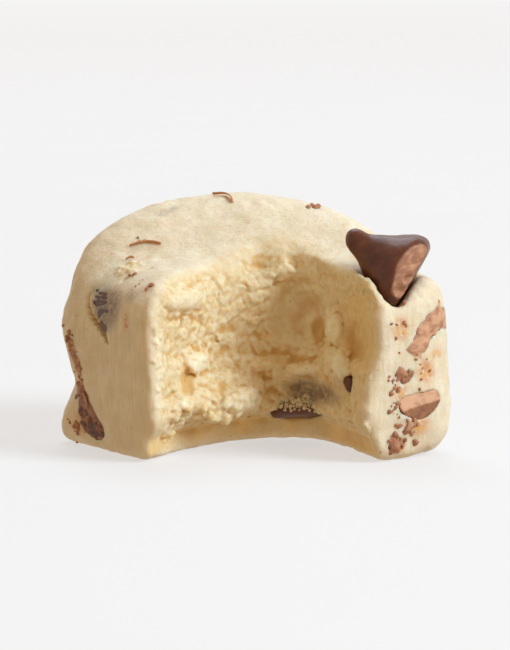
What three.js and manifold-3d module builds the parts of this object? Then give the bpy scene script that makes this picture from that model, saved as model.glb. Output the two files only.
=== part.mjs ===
// A bitten square of chocolate chip cookie dough fudge, standing on its flat base.
// Millimetres, +Z up, origin at the centre of the base. The bite takes the corner between the
// front face (-Y) and the left face (-X). The dough is one solid with a pocket for each chip.
import * as THREE from 'three';
import { mergeVertices } from 'three/addons/utils/BufferGeometryUtils.js';
import Module from 'manifold-3d';

const wasm = await Module();
wasm.setup();

// ---- driving dimensions ----
const SIDE = 34; // an 8 inch pan cut six by six
const HEIGHT = 28.8; // base to the crown at the back, before the drops below
const HALF = SIDE / 2;
const FRONT_DROP = 7.0; // how far the top sinks towards the bite
const RIGHT_DROP = 2.6; // and towards +X
const LEFT_DROP = 1.0; // and towards -X
const TOP_RADIUS = 5.4;
const CORNER_RADIUS = 5.0; // upright corners, at mid height
const BASE_RADIUS = 1.5;
const WORN_RADIUS = 4.0; // the base edge on the +X side, rounded by handling
const SIDE_BELLY = 0.3;
// Lump and dent down the corner between the left and back faces: [height, how far out].
const SHOULDER = [[3, 0], [6, -0.2], [9, -1.0], [11.6, 0], [15, 0.7], [18.2, 1.7], [21, 0.4], [23.5, 0]];
const CHIP_RADIUS = 5.1;
const CHIP_HEIGHT = 8.0;
const POCKET_GAP = 0.3; // clearance between a chip and its pocket

// The bite is measured square on, from 34 degrees left of the front: u to the right, z up.
const BITE_YAW = THREE.MathUtils.degToRad(-34);
const BITE_CENTRE = 3.8; // u of the deepest point
const BITE_ENDS = -12.6; // depth at which the wall leaves the block
// By height: u of the two ends of the wall, and its greatest depth past the block's centre line.
const LEFT_END = [[0, -13.4], [2, -12.9], [5, -11.3], [15, -11.6], [19, -11.9], [22, -14.2], [26, -16]];
const RIGHT_END = [[0, 13.9], [3, 12.9], [5.6, 11.5], [8, 12.2], [13, 13.7], [19, 13.7], [22, 12.4], [26, 10]];
const DEPTH = [[0, 6.2], [0.9, 5.4], [3, 4.9], [3.7, 2.6], [8, 1.4], [11, 2.0], [15, 1.6], [19, 1.2], [22.5, 1.8], [26, 4.5], [34, 10]];
const STRIP_HEIGHT = 3.3; // smooth band cut by the lower teeth
const LOWER_TOOTH = 5.0; // width of one lower tooth mark

const { clamp, smoothstep, lerp } = THREE.MathUtils;

// ---- repeatable noise ----
function lattice(i, j, k) {
  const s = Math.sin(i * 127.1 + j * 311.7 + k * 74.7) * 43758.5453;
  return s - Math.floor(s);
}

// Smooth value noise from -1 to 1; cell is the size of one lump.
function noise(x, y, z, cell) {
  const p = [x / cell, y / cell, z / cell];
  const i = p.map(Math.floor);
  const f = p.map((v, n) => (v - i[n]) ** 2 * (3 - 2 * (v - i[n])));
  const along = (j, k) => lerp(lattice(i[0], j, k), lattice(i[0] + 1, j, k), f[0]);
  const across = (k) => lerp(along(i[1], k), along(i[1] + 1, k), f[1]);
  return 2 * lerp(across(i[2]), across(i[2] + 1), f[2]) - 1;
}

// A soft-edged bump: 1 at its centre, 0 one radius away.
function bump(u, z, centreU, centreZ, radiusU, radiusZ) {
  const r = Math.hypot((u - centreU) / radiusU, (z - centreZ) / radiusZ);
  return 1 - smoothstep(r, 0.25, 1);
}

// Value of a [height, value] profile at height z.
function follow(profile, z) {
  const next = profile.findIndex(([height]) => height >= z);
  if (next < 1) return (next === 0 ? profile[0] : profile[profile.length - 1])[1];
  const [z0, a] = profile[next - 1];
  const [z1, b] = profile[next];
  return lerp(a, b, smoothstep(z, z0, z1));
}

// ---- between three.js geometry and solids ----
function toSolid(geometry) {
  const bare = geometry.clone().deleteAttribute('normal').deleteAttribute('uv');
  const merged = mergeVertices(bare, 1e-4);
  return new wasm.Manifold(new wasm.Mesh({
    numProp: 3,
    vertProperties: new Float32Array(merged.attributes.position.array),
    triVerts: new Uint32Array(merged.index.array),
  }));
}

function toGeometry(solid) {
  const mesh = solid.getMesh();
  return new THREE.BufferGeometry()
    .setAttribute('position', new THREE.BufferAttribute(mesh.vertProperties, 3))
    .setIndex(new THREE.BufferAttribute(mesh.triVerts, 1));
}

function moveVertices(geometry, move) {
  const position = geometry.attributes.position;
  const p = new THREE.Vector3();
  for (let i = 0; i < position.count; i++) {
    p.fromBufferAttribute(position, i);
    move(p);
    position.setXYZ(i, p.x, p.y, p.z);
  }
  return geometry;
}

function largestBody(solid) {
  return solid.decompose().reduce((a, b) => (b.volume() > a.volume() ? b : a));
}

// ---- the uncut square ----
// Closer rows near the edges, where the surface turns.
function crowd(t) {
  return lerp(t, Math.sin((t * Math.PI) / 2), 0.6);
}

function edgeRadius(x, z) {
  const base = lerp(BASE_RADIUS, WORN_RADIUS, smoothstep(x, 8, 15));
  const side = lerp(base, CORNER_RADIUS, smoothstep(z, 1, 9));
  return lerp(side, TOP_RADIUS, smoothstep(z, 10, HEIGHT - TOP_RADIUS));
}

// Depth into the block as the bite sees it: 0 at the block's centre, more is farther in.
function biteDepth(x, y) {
  return -Math.sin(BITE_YAW) * x + Math.cos(BITE_YAW) * y;
}

function shapeBlock(p) {
  p.set(HALF * crowd(p.x), HALF * crowd(p.y), (HEIGHT / 2) * (1 + crowd(p.z)));
  const r = edgeRadius(p.x, p.z);
  const core = new THREE.Vector3(
    clamp(p.x, r - HALF, HALF - r),
    clamp(p.y, r - HALF, HALF - r),
    clamp(p.z, Math.min(r, WORN_RADIUS), HEIGHT - TOP_RADIUS),
  );
  const out = p.clone().sub(core).normalize();
  const lift = smoothstep(p.z, 0.2, 3); // the base stays flat
  const belly = SIDE_BELLY * Math.sin((Math.PI * p.z) / HEIGHT) * Math.hypot(out.x, out.y);
  const shoulder = follow(SHOULDER, p.z) * smoothstep(-p.x, 5, HALF) * smoothstep(p.y, 4, HALF);
  const lumps = 0.34 * noise(p.x, p.y, p.z, 8) + 0.13 * noise(p.x, p.y, p.z, 3);
  p.copy(core).addScaledVector(out, r + lift * (belly + shoulder + lumps));
  if (p.z < 0.02) p.z = 0;
  const drop = FRONT_DROP * smoothstep(-biteDepth(p.x, p.y), -11, 2) * (1 - 0.25 * smoothstep(p.x, 6, HALF))
    + RIGHT_DROP * smoothstep(p.x, 3, 20) + LEFT_DROP * smoothstep(-p.x, 6, HALF);
  p.z *= 1 - drop / HEIGHT;
}

function blockSolid() {
  const box = new THREE.BoxGeometry(2, 2, 2, 18, 18, 14);
  return toSolid(moveVertices(box, shapeBlock));
}

// ---- the bite ----
// Depth of the torn wall at u, across the bite, and height z.
function biteWall(u, z) {
  const end = follow(u < BITE_CENTRE ? LEFT_END : RIGHT_END, z);
  const side = (u - BITE_CENTRE) / (end - BITE_CENTRE);
  let wall = lerp(follow(DEPTH, z), BITE_ENDS, side * side);

  const strip = 1 - smoothstep(z, STRIP_HEIGHT - 0.4, STRIP_HEIGHT + 0.4);
  const scoop = bump(u, z, 4.9, 15.9, 5.0, 5.6); // one upper front tooth
  const sideScoop = bump(u, z, 11.4, 14.6, 2.6, 6.6); // its neighbour
  wall += 2.4 * scoop + 1.3 * sideScoop;
  wall -= 2.6 * bump(u, z, -4.6, 6.4, 6.4, 3.2); // hanging crumb
  wall -= 1.2 * bump(u, z, 3.2, 9.2, 3.4, 2.2); // ledge under the scoop
  wall -= 1.7 * bump(u, z, 8.8, 11.6, 1.9, 4.8); // ridge beside the scoop
  wall -= 0.8 * bump(u, z, -8.2, 18.4, 4.2, 2.4); // flake by the top edge
  wall += 0.8 * bump(u, z, -8.6, 11.6, 2.6, 1.8);
  wall += 0.8 * bump(u, z, 8.4, 6.0, 2.4, 1.8);

  const smooth = Math.max(strip, 0.9 * scoop, 0.7 * sideScoop);
  const crags = 0.8 * noise(u, 3.7, z, 2.6) + 0.45 * noise(u, 9.1, z, 1.4);
  const flute = 0.4 * Math.abs(Math.sin((Math.PI * (u + 1.2)) / LOWER_TOOTH)) * strip;
  return wall + (1 - smooth) * crags + flute;
}

// A point on the torn wall, or so much deeper, in the part's own frame.
function atBite(u, z, deeper) {
  const up = new THREE.Vector3(0, 0, 1);
  return new THREE.Vector3(u, biteWall(u, z) + deeper, z).applyAxisAngle(up, BITE_YAW).toArray();
}

function biteSolid() {
  const width = 40;
  const height = 34;
  const front = -40;
  const cell = 0.85;
  const box = new THREE.BoxGeometry(
    width, 2, height, Math.round(width / cell), 1, Math.round(height / cell),
  );
  moveVertices(box, (p) => {
    p.z += height / 2 - 1;
    p.y = p.y > 0 ? biteWall(p.x, p.z) : front;
  });
  return toSolid(box.rotateZ(BITE_YAW));
}

// ---- chocolate chips ----
// A drop with a flat base at the origin and its tip up. Pairs are radius, height, as shares.
const CHIP_OUTLINE = [
  [0, 0], [0.86, 0], [1, 0.09], [0.93, 0.27], [0.62, 0.5], [0.32, 0.73], [0.24, 0.92], [0, 1],
];

// base: centre of the flat base; tip: direction of the tip; nub: how far the tip is bent over.
const CHIPS = [
  // front face, right of the bite
  { name: 'chip_top', base: [11.4, -14.4, 20.2], tip: [-0.65, 0.57, 0.5], size: 1.0, nub: [-0.6, 0.2, 1.5], proud: true },
  { name: 'chip_front_high', base: [13.8, -15.0, 12.4], tip: [-0.44, 0.77, 0.46], size: 0.95 },
  { name: 'chip_front_low', base: [10.4, -13.9, 7.6], tip: [0.12, -0.05, -0.99], size: 0.85 },
  { name: 'chip_front_shard', base: [9.0, -16.4, 9.1], tip: [-0.5, 0.4, 0.77], size: 0.3 },
  { name: 'chip_front_scrap', base: [7.6, -16.5, 1.4], tip: [-0.1, 0.4, 0.9], size: 0.3 },
  // left face
  { name: 'chip_left_high', base: [-13.9, 8.2, 15.0], tip: [0.42, -0.69, 0.59], size: 0.95 },
  { name: 'chip_left_corner', base: [-15.0, 9.9, 11.9], tip: [0.6, 0.74, -0.3], size: 0.75 },
  { name: 'chip_left_low', base: [-14.8, 7.6, 5.9], tip: [0.5, 0.56, -0.66], size: 0.93 },
  // inside the bite, and on the crown
  { name: 'chip_bite', base: [7.4, 0.8, 2.8], tip: [0.1, 0.25, 0.96], size: 0.85, proud: true },
  { name: 'chip_bite_scrap', base: atBite(10.2, 8.0, 0.5), tip: [-0.5, -0.3, 0.81], size: 0.26 },
  { name: 'chip_crown', base: [-5.2, 10.3, 25.3], tip: [0.46, 0.68, -0.57], size: 0.6 },
  // back face
  { name: 'chip_back_left', base: [-8.2, 14.9, 5.2], tip: [0.25, -0.3, 0.92], size: 1.0 },
  { name: 'chip_back_high', base: [-1.2, 15.3, 19.8], tip: [-0.75, -0.25, -0.6], size: 0.92 },
  { name: 'chip_back_low', base: [6.8, 15.6, 8.9], tip: [0.5, -0.35, -0.8], size: 0.95 },
  { name: 'chip_back_right', base: [10.6, 15.4, 16.6], tip: [0.2, -0.5, 0.85], size: 0.85 },
  // right face
  { name: 'chip_right_high', base: [15.6, -4.2, 18.6], tip: [-0.3, 0.82, -0.48], size: 0.95 },
  { name: 'chip_right_middle', base: [16.0, -4.4, 7.6], tip: [-0.6, -0.1, 0.8], size: 0.9 },
  { name: 'chip_right_low', base: [14.6, 7.0, 4.0], tip: [-0.2, 0.3, 0.93], size: 1.0 },
  // base
  { name: 'chip_base_left', base: [-7.6, 9.6, 0.9], tip: [0.35, -0.5, 0.79], size: 0.9 },
  { name: 'chip_base_right', base: [2.0, 9.0, 0.8], tip: [-0.2, -0.55, 0.8], size: 0.7 },
];

function chipSolid({ base, tip, size, nub = [0, 0, 0] }, grow = 0) {
  const height = CHIP_HEIGHT * size;
  const outline = CHIP_OUTLINE.map(([r, t]) => new THREE.Vector2(
    r === 0 ? 0 : r * CHIP_RADIUS * size + grow,
    t * height + (t < 0.05 ? -grow : t > 0.9 ? grow : 0),
  ));
  const drop = new THREE.LatheGeometry(outline, size < 0.5 ? 8 : 14).rotateX(Math.PI / 2);
  const bend = new THREE.Vector3(...nub);
  const start = new THREE.Vector3(...base);
  const aim = new THREE.Quaternion().setFromUnitVectors(
    new THREE.Vector3(0, 0, 1), new THREE.Vector3(...tip).normalize(),
  );
  return toSolid(moveVertices(drop, (p) => {
    const reach = clamp(p.z / height, 0, 1) ** 2;
    p.applyQuaternion(aim).addScaledVector(bend, reach).add(start);
  }));
}

// ---- materials ----
const doughMaterial = new THREE.MeshStandardMaterial({ color: 0xe3c999, roughness: 0.8, metalness: 0 });
const chocolateMaterial = new THREE.MeshStandardMaterial({ color: 0x63402d, roughness: 0.45, metalness: 0 });

function addMesh(group, name, solid, material) {
  const mesh = new THREE.Mesh(toGeometry(solid), material);
  mesh.name = name;
  group.add(mesh);
}

// ---- assembly ----
const fudge = new THREE.Group();
// The knife cut the chips level with the sides. Two stand proud, on the top and in the bite.
const knife = toSolid(new THREE.BoxGeometry(SIDE, SIDE, 80));
const bitten = blockSolid().subtract(biteSolid());

// Where two chips would meet, the later one stops short of the earlier one's pocket.
let dough = bitten;
const chips = CHIPS.map((chip, i) => {
  let shown = chipSolid(chip).intersect(chip.proud ? knife : bitten);
  for (const earlier of CHIPS.slice(0, i)) shown = shown.subtract(chipSolid(earlier, POCKET_GAP));
  dough = dough.subtract(chipSolid(chip, POCKET_GAP));
  return largestBody(shown);
});
addMesh(fudge, 'dough', largestBody(dough), doughMaterial);
chips.forEach((solid, i) => addMesh(fudge, CHIPS[i].name, solid, chocolateMaterial));

// The lumps push the outline a little off centre, so bring it back over the origin.
const middle = new THREE.Box3().setFromObject(fudge).getCenter(new THREE.Vector3());
for (const mesh of fudge.children) mesh.geometry.translate(-middle.x, -middle.y, 0);

export default fudge;
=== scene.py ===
"""The looks of a bitten square of chocolate chip cookie dough fudge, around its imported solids.

Each piece starts as its solid's distance field on a fine grid, in millimetres. There it is
smoothed, crumbled and cut, and then it is turned into a mesh in metres.
"""

import itertools
import math

import bmesh
import bpy
import numpy as np
import openvdb
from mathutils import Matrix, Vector

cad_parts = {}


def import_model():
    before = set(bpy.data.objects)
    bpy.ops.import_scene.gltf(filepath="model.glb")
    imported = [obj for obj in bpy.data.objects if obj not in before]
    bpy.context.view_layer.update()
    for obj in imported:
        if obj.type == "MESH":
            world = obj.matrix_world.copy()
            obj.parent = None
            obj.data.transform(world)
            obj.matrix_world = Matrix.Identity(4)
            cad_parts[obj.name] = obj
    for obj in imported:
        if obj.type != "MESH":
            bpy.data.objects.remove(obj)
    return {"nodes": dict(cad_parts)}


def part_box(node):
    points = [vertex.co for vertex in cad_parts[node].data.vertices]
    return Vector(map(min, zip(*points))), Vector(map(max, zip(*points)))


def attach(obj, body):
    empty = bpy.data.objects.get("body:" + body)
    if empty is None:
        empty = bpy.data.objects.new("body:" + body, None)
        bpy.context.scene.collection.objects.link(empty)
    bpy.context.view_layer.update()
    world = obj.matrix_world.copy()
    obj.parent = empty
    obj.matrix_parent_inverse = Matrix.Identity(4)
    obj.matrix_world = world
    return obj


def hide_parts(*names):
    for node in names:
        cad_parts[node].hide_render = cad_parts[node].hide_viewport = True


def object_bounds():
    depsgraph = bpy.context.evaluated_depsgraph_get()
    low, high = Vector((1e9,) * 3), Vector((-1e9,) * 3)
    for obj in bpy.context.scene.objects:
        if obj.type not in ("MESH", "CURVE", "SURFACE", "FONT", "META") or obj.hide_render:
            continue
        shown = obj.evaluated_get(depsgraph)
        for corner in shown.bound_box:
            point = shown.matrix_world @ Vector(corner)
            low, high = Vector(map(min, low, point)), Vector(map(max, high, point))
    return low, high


MM = 0.001  # one millimetre in metres

# ---- the uncut square and the bite, in millimetres, as the solids have them ----
SHIFT = np.array([0.22, -0.15, 0.0])  # where the block's own centre is in the frame
HALF = 17.0
FRONT_FACE = SHIFT[1] - HALF
HEIGHT = 28.8
FRONT_DROP = 7.0
RIGHT_DROP = 2.6
LEFT_DROP = 1.0
EDGE_RADIUS = 5.0
BASE_RADIUS = 1.5
BITE_YAW = math.radians(-34)
BITE_CENTRE = 3.8
BITE_LEFT = -11.6
BITE_RIGHT = 13.7
BITE_DEPTH = 1.6
BITE_ENDS = -12.6
STRIP_HEIGHT = 3.3

# ---- grids ----
DOUGH_STEP = 0.2
DOUGH_MARGIN = 2.2
CHIP_STEP = 0.15
CHIP_MARGIN = 1.2
SMEAR_STEP = 0.12
REACH = 1.6  # distances are true this far from a surface
CLOSING = 0.3  # fills the clearance round the flush chips
FACE_BLUR = 0.75
BITE_BLUR = 0.3
CHIP_BLUR = 0.42
DOUGH_TRIANGLES = 185000
CHIP_TRIANGLES = 9000
SMEAR_TRIANGLES = 40000

# ---- chips ----
# The way out of the dough for each group of chips: axis and sign.
WAYS_OUT = {
    "chip_front": (1, -1),
    "chip_left": (0, -1),
    "chip_back": (1, 1),
    "chip_right": (0, 1),
    "chip_base": (2, -1),
}
HIDDEN_FACES = ("chip_back", "chip_right")  # their chips get stains and scraps round them
HIDDEN_STAIN = (1.6, 0.7)  # reach, in radii of the chip, and strength
HIDDEN_SCRAPS = (0.6, 16, 0.24)  # spread, in radii of the chip, count and radius
PROUD_CHIPS = ("chip_top", "chip_bite_scrap")  # the dough's outside doesn't follow these
FILMS_OVER = {"chip_left_high": 0.12, "chip_crown": 0.4}  # thickness of dough over a chip
CHIP_GROWTH = 0.05  # makes up for what the blur takes off
BITE_SCRAP_GROWTH = 0.25
CHIP_GAP = -0.02  # pockets are smaller than their chips, so that no gap shows
SUNK = 0.02  # how far a cut chip lies below the dough's face
BITE_CHIP_SHOWS = (2.7, 5.6)  # the chip in the bite shows between these heights
CHIP_TONE = 0.45  # of most cut faces, from dark to light
CHIP_TONES = {"chip_front_shard": 0.5}
CRISP = 0.5  # a chip's sides run straight out over this depth
# The crack across the top chip's knife cut, and the height below which the tip is crumbly.
TOP_CHIP_CRACK = [(13.2, -17.2, 20.9), (11.2, -17.1, 20.4), (9.0, -17.1, 20.7)]
TOP_CHIP_CRACK_RADIUS = 0.42
TOP_CHIP_TIP = 20.6
LOW_CHIP_RIDGE = (10, 6.2, 0.18)  # of the low front chip: x and z of a point, and slope

# ---- crumbs ----
CRUMB_LIFT = 0.35  # how far a crumb's centre strays from the surface, in its radii
CRUMB_BLEND = 0.12
GRAINS = 1300  # fine crumbs on the chip in the bite
GRAIN_SIZE = (0.07, 0.3)  # smallest and largest radius
DUST_HEIGHT = 4.3  # that chip is dusty from here up

# Chocolate that the knife smeared: the axis across the face, then tone from dark to light, how
# thin and orange, thickness, and outline along and up the face.
SMEARS = {"front_smears": (1, [
    (0.78, 0.1, 0.22, [(14.4, 17.8), (14.6, 16.4), (13.6, 14.6), (11.4, 12.5), (9.5, 11.2),
                       (8.7, 12.8), (9.9, 14.4), (12.2, 16.5)]),
    (0.6, 0, 0.26, [(12.6, 13.8), (11.4, 12.6), (9.6, 11.4), (9.2, 12.3), (10.6, 13.3)]),
    (0.55, 0.2, 0.4, [(7.8, 10.9), (9.7, 10.1), (9.2, 9.4), (7.1, 9)]),
    (0.35, 0, 0.35, [(6.5, 8.4), (7.9, 8), (7.7, 6.2), (6.8, 6)]),
    (0.5, 0.1, 0.45, [(8.1, 4.5), (10.1, 4.3), (9.7, 3), (8.4, 2.9)]),
    (0.5, 0.2, 0.35, [(6.6, 3.3), (8.5, 3), (8.2, 1.2), (7, 1)]),
]), "left_smears": (0, [
    (0.7, 0, 0.35, [(13.3, 12.6), (11.9, 12.5), (10.7, 10.3), (9.9, 7.6), (10.9, 7.8),
                      (12, 9.3)]),
    (0.5, 0, 0.4, [(12.2, 7.6), (10, 6.9), (7.6, 5.3), (8.4, 4.5), (10.3, 4.9)]),
    (0.1, 0, 0.3, [(12.5, 5.4), (11.8, 4.1), (10.2, 2.9), (8.6, 1.8), (5, 1.9), (6.7, 3.3),
                     (8.8, 4.4)]),
    (0.8, 0.8, 0.2, [(12.4, 2.5), (11, 2.3), (10.6, 1.4), (12, 1.6)]),
    (0.8, 0.8, 0.15, [(1.2, 16.8), (0.1, 16.6), (-0.3, 15.2), (0.5, 14.9)]),
])}
SMEAR_SPAN = (-HALF - 2.6, -HALF + 1.5)  # of the smears' grids, across the face
SMEAR_ROOT = 0.25  # how far a smear goes into the dough

# Scraps of chocolate: the axis across the face, centre, spread, count and radius.
SCRAPS = [
    (1, (8, -16.9, 9.6), (0.9, 0.2, 0.8), 12, 0.28),
    (1, (7.2, -16.9, 7.2), (0.5, 0.2, 1.2), 16, 0.25),
    (1, (9.4, -16.9, 3.8), (1, 0.2, 0.7), 18, 0.3),
    (1, (7.5, -16.9, 2.2), (0.7, 0.2, 0.8), 14, 0.28),
    (1, (8.2, -16.9, 15.2), (0.7, 0.2, 0.9), 8, 0.2),
    (1, (11.2, -16.9, 10.2), (1.1, 0.2, 0.9), 10, 0.22),
    (1, (9.2, -16.9, 18.6), (0.6, 0.2, 0.7), 12, 0.24),
    (0, (-17, 12.6, 12.6), (0.2, 0.7, 0.8), 14, 0.3),
    (0, (-17, 11.2, 8.6), (0.2, 0.8, 1.4), 14, 0.26),
    (0, (-16.8, 11.4, 2.4), (0.2, 1.2, 0.7), 16, 0.28),
    (0, (-16.8, -0.9, 20), (0.2, 0.3, 0.25), 6, 0.32),
    (0, (-16.8, 1.3, 19.9), (0.2, 0.2, 0.2), 4, 0.22),
    (2, (-13.7, 4.4, 22), (0.5, 0.5, 0.2), 8, 0.3),
    (2, (5.6, 10.7, 28), (0.2, 0.2, 0.2), 3, 0.2),
    (2, (-9.4, 9.9, 26), (0.3, 0.3, 0.2), 4, 0.18),
    (2, (10.7, 3.7, 26), (0.45, 0.3, 0.1), 7, 0.42),
]
LOOSE = 0.12  # a scrap further than this off the surface is dropped

# Shavings on the top: start, end, sideways bow and width.
SHAVINGS = [
    ((-10.9, 9.8), (-7.9, 7.7), 0.25, 0.5),
    ((-12.3, 8.3), (-11.5, 7.8), 0.1, 0.28),
    ((1.5, 11.1), (2.3, 8.1), 0.7, 0.42),
]

# Soft spots on the dough: centre, radii and strength. Stains are of melted chocolate.
STAINS = [
    ((8.2, -17, 15.2), (1.5, 1.5, 1.9), 1),
    ((11.5, -17, 10.2), (1.9, 1.5, 2.2), 1),
    ((13.4, -17, 12), (1.5, 1.5, 0.8), 0.8),
    ((8, -17, 7.8), (1.6, 1.5, 2.6), 0.8),
    ((10.4, -17, 4), (2.8, 1.5, 1.7), 0.9),
    ((7.8, -17, 1.7), (1.7, 1.5, 1.7), 0.9),
    ((-17, 0.4, 15.9), (1.5, 1, 1.6), 0.7),
    ((-17.5, 12.4, 11.6), (1.5, 1.8, 2.2), 0.5),
    ((-17, 10.8, 3), (1.5, 2.8, 2.2), 0.6),
    ((4.6, 6.6, 26.5), (1.4, 1, 1.5), 0.35),
    ((-13.2, 4.6, 22), (2, 0.8, 1.5), 0.5),
]
# Films are dough so thin that the chip under it shows grey.
FILMS = [
    ((-17, 5, 17.2), (2.5, 4.4, 3.8), 1),
    ((-17, 0.8, 19.2), (2, 2.4, 1.6), 0.6),
    ((-4.6, 11.3, 26.8), (2.6, 0.8, 1.6), 0.45),
    ((-13.9, 4.4, 21.6), (1.2, 1, 1.4), 0.7),
]
# A crack in the left face's film, where the chip shows: its radius, depth and path.
CRACK_RADIUS = 0.38
CRACK_DEPTH = 0.8
CRACK = [(0, 9.3, 18.8), (0, 9.3, 17.1), (0, 8.3, 15.7), (0, 6.7, 14.9), (0, 5.5, 13.8),
         (0, 4.9, 13.2)]

# The torn wall's lumps and hollows, in the bite's own u and z: centre, radii, height, and how
# much rougher than the rest.
STRENGTH, ROUGHER = 4, 5  # this table's columns; the wall's other tables lack the second
RELIEF = [
    (6.2, 14.9, 3.2, 4.4, -0.8, 0),  # scoop of the upper tooth
    (7.2, 13.2, 1.3, 2.4, -0.6, 0),  # its deepest part
    (11.6, 13.8, 1.8, 3.8, -0.4, 0),  # its neighbour's
    (5.6, 6.4, 3.4, 2.2, -0.7, 0.1),  # over the chip
    (4.9, 3.5, 4, 1.5, -1, -0.4),  # in front of it
    (-8, 8.9, 1.2, 2, -0.6, 0.3),
    (0.4, 8, 2, 0.7, -0.4, 0.3),
    (-8.2, 18.1, 3, 1.7, 0.5, -0.5),  # flat flake by the top edge
    (-6.8, 10.7, 1.8, 1.7, 0.6, -0.2),
    (-3.6, 8.9, 1.2, 0.9, 0.4, 0),
    (-7.8, 6.4, 1.2, 1, 0.4, 0.3),
    (-1.8, 5.9, 3.2, 2.2, 0.9, 0.7),  # hanging crumb
    (-4.4, 4.3, 2.4, 1.1, 0.7, 0.7),
    (1.8, 5, 1.1, 1.6, 0.5, 0.5),
    (1.8, 10, 2.6, 1.1, 0.6, -0.2),  # ledge under the scoop
    (5.2, 9.2, 2.6, 1, 0.8, -0.2),
    (9.2, 10.6, 1.4, 2.4, 0.4, 0.9),  # ridge between the teeth
    (8.8, 14.6, 1, 2.4, 0.3, 0.9),
    (10.9, 10.4, 1.7, 1.2, 0.4, 0.5),
    (12.5, 4.8, 1.5, 1.3, 0.4, 0.5),
]
# The torn wall's flakes, large to small: height, how much their edges wander, and size.
FLAKES = [
    (0.5, 1, (3.2, 3.2, 1.8)),
    (0.28, 1, (1.6, 1.6, 0.9)),
    (0.16, 0.6, (0.8, 0.8, 0.55)),
]
# Where the upper teeth left the wall smooth, and the ridge between them: centre and radii.
TOOTH_MARKS = [(4.9, 15.9, 5.3, 6.2), (11.4, 14.4, 2.8, 6.8)]
TOOTH_RIDGE = [(8.8, 14.6, 1.3, 2.6), (9.3, 10.6, 2, 2.8)]
SCOOP = (5.4, 15.4, 6, 7)  # smooth, but without the pressed dough's colour and its painted warm shade
# The lower teeth's prints in the strip: centres, reach to the sides, depth, and the height from
# which they fade.
SCALLOPS = (-8.9, -4.1, 1.1, 6.6, 11.6)
SCALLOP_REACH = 2.55
SCALLOP_DEPTH = 0.7
SCALLOP_FADE = 2.3
# Where the wall is kept even, so that the chips in it show.
BARE = [(10.2, 8.5, 2.3, 2.2)]
# Painted ochre shade, in the wall's recesses and cracks, on the strip and along its right edge:
# centre, radii and strength.
OCHRE_SHADES = [
    (13.3, 15.4, 0.7, 3, 0.9),
    (12.5, 9, 0.9, 2.4, 0.5),
    (-8, 9.4, 1, 2.2, 0.8),
    (-4.5, 7.9, 2.4, 0.8, 0.5),
    (0.6, 8.7, 2.2, 0.7, 0.8),
    (-0.5, 18.9, 1.3, 0.5, 0.7),
    (-3.2, 14, 2.2, 0.5, 0.5),
    (-9, 16.3, 1.8, 0.35, 0.6),
    (-6.4, 19.9, 1.8, 0.3, 0.5),
    (1.3, 1.6, 2.3, 2.4, 1),
    (6.6, 1.6, 2.3, 2.2, 0.3),
]
# Whiter crumb, and painted light that lifts the shaded scoop, likewise.
PALES_AND_SCOOP_LIGHT = [
    # painted light in the shaded scoop
    (5.4, 15.4, 5.6, 6.6, 0.9),
    (8.7, 14.6, 1, 1.8, 1),
    (9.3, 10.4, 1.6, 2.5, 1),
    (-8.2, 18.1, 3, 1.7, 0.5),
    (-6.8, 10.7, 1.9, 1.8, 0.8),
    (-1.8, 5.9, 3.2, 2.2, 0.7),
    (-8.3, 6.6, 1.2, 1, 0.8),
    (5.4, 9.2, 2.4, 0.9, 0.9),
    (1.4, 19.9, 1.8, 0.9, 0.8),
    (12.9, 4.6, 1.4, 1.3, 1),
    (-10.2, 2.6, 0.9, 0.9, 0.8),
    (-11.3, 11, 0.9, 9, 0.8),
]
# Where the chip in the bite shows grey through the crumb, likewise.
WALL_FILMS = [(5.9, 6.4, 3.6, 2.4, 0.95), (8.6, 6.6, 1.8, 1.6, 0.5), (9.9, 8.4, 1.6, 1.4, 0.3)]
# Patches of crumbs: centre, radii, count, smallest and largest radius of a crumb.
CRUMB_PATCHES = [
    (2.6, 20.3, 2.2, 1, 40, 0.15, 0.4),
    (10.4, 18.6, 2.4, 1.7, 80, 0.15, 0.4),
    (6.6, 18.3, 1.8, 0.7, 30, 0.15, 0.35),
    (8.8, 14.6, 0.9, 2.4, 50, 0.25, 0.6),
    (9.3, 10.4, 1.6, 2.4, 80, 0.25, 0.65),
    (5, 19.8, 3.4, 1.2, 70, 0.15, 0.4),
    (-1.8, 5.6, 3.6, 2.2, 150, 0.22, 0.6),
    (-6.4, 4.8, 4, 1.5, 80, 0.2, 0.5),
    (5, 5.8, 3.2, 1.1, 110, 0.12, 0.3),
    (4.9, 4.3, 1.3, 0.7, 14, 0.2, 0.36),
    (7.4, 5, 0.8, 1.5, 14, 0.15, 0.35),
    (12.6, 4.6, 1.5, 1.4, 40, 0.2, 0.45),
    (-10.2, 2.4, 0.8, 0.9, 18, 0.2, 0.5),
    (-11.2, 11, 0.8, 9, 60, 0.12, 0.32),
    (1, 12, 16, 12, 180, 0.14, 0.3),
]
CREVICE_SHADE_BLUR = 0.55  # painted crevice shade goes where the surface lies below itself blurred
CREVICE_SHADE_DEPTH = 0.22

# Loose crumbs on the top, by its left corner, and the crack beside them.
TOP_CRUMBS = [((-13.2, 6.6, 21.8), (2, 1.8, 3.5), 1)]
TOP_CRUMB_COUNT = 60
TOP_CRUMB_SIZE = (0.15, 0.42)  # smallest and largest radius
TOP_CRACK = [(-11.6, 4.2, 0), (-13.2, 4.5, 0), (-14.6, 5, 0)]
TOP_CRACK_RADIUS = 0.45
TOP_CRACK_DEPTH = 0.6
TOP_FROM = 18  # the top is above this height

# ---- studio, in metres ----
FLOOR_RADIUS = 3.0
FLOOR_GREYS = ((0.36, 0.362, 0.375, 1), (0.365, 0.368, 0.38, 1))
PAPER = (0.895, 0.90, 0.915, 1)
FAR_PAPER = (0.86, 0.90, 0.95, 1)
GLOW_CHANGES = (0.1, 1.7)  # between these distances
GLOW = (0.605, 0.84)  # near and far
FILL_LIGHT = (0.455, 0.33, 0.192, 1)
LIGHT_DISTANCE = 0.9
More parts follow.
